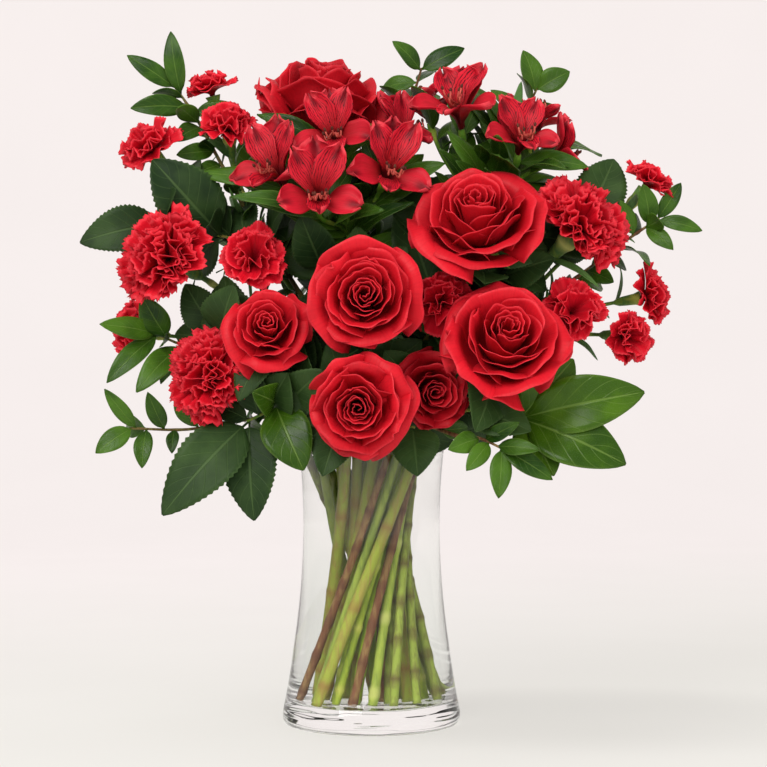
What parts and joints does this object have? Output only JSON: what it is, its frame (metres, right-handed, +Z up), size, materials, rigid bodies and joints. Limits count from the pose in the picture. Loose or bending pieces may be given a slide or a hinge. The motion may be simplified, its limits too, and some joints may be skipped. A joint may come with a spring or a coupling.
{
  "type": "mixed bouquet of red cut flowers in a clear glass vase of water",
  "caption": "Full bouquet of red roses, carnations, spray carnations and alstroemerias with mixed green leaves, standing in a flared clear glass vase of water.",
  "frame": {"origin": "centre of the vase's underside, on the surface it stands on", "axes": "+Z up out of the vase, -Y towards the front of the bouquet, +X to the right seen from the front"},
  "size_m": [0.433, 0.2398, 0.488],
  "materials": {
    "glass": "clear, polished",
    "water": "clear, still",
    "rose_petal": "soft velvety matte",
    "carnation_petal": "soft matte",
    "alstroemeria_petal": "satin, with dark stripes on the upper inner tepals",
    "flower_stem": "smooth, waxy",
    "woody_stem": "thin bark with green leaves",
    "leaf": "waxy, with a raised midrib"
  },
  "bodies": {
    "root": {"alstroemeria_1_stem": "flower_stem", "alstroemeria_2_stem": "flower_stem", "back_spray_1": "leaf", "back_spray_2": "leaf", "back_spray_3": "leaf", "broad_leaf": "leaf", "carnation_1": "carnation_petal", "carnation_1_stem": "flower_stem", "carnation_2": "carnation_petal", "carnation_2_stem": "flower_stem", "carnation_3": "carnation_petal", "carnation_3_stem": "flower_stem", "fatsia_leaf": "leaf", "floret_1": "alstroemeria_petal", "floret_10": "alstroemeria_petal", "floret_2": "alstroemeria_petal", "floret_3": "alstroemeria_petal", "floret_4": "alstroemeria_petal", "floret_5": "alstroemeria_petal", "floret_6": "alstroemeria_petal", "floret_7": "alstroemeria_petal", "floret_8": "alstroemeria_petal", "floret_9": "alstroemeria_petal", "rose_1": "rose_petal", "rose_1_stem": "flower_stem", "rose_2": "rose_petal", "rose_2_stem": "flower_stem", "rose_3": "rose_petal", "rose_3_stem": "flower_stem", "rose_4": "rose_petal", "rose_4_stem": "flower_stem", "rose_5": "rose_petal", "rose_5_stem": "flower_stem", "rose_6": "rose_petal", "rose_6_stem": "flower_stem", "rose_7": "rose_petal", "rose_7_stem": "flower_stem", "spray_1_stem": "flower_stem", "spray_2_stem": "flower_stem", "spray_3_stem": "flower_stem", "spray_4_stem": "flower_stem", "spray_bloom_1": "carnation_petal", "spray_bloom_10": "carnation_petal", "spray_bloom_2": "carnation_petal", "spray_bloom_3": "carnation_petal", "spray_bloom_4": "carnation_petal", "spray_bloom_5": "carnation_petal", "spray_bloom_6": "carnation_petal", "spray_bloom_7": "carnation_petal", "spray_bloom_8": "carnation_petal", "spray_bloom_9": "carnation_petal", "sprig_1": "woody_stem", "sprig_2": "woody_stem", "sprig_3": "woody_stem", "sprig_4": "woody_stem", "sprig_5": "woody_stem", "sprig_6": "woody_stem", "sprig_7": "woody_stem", "vase": "glass", "water": "water"}
  },
  "joints": []
}
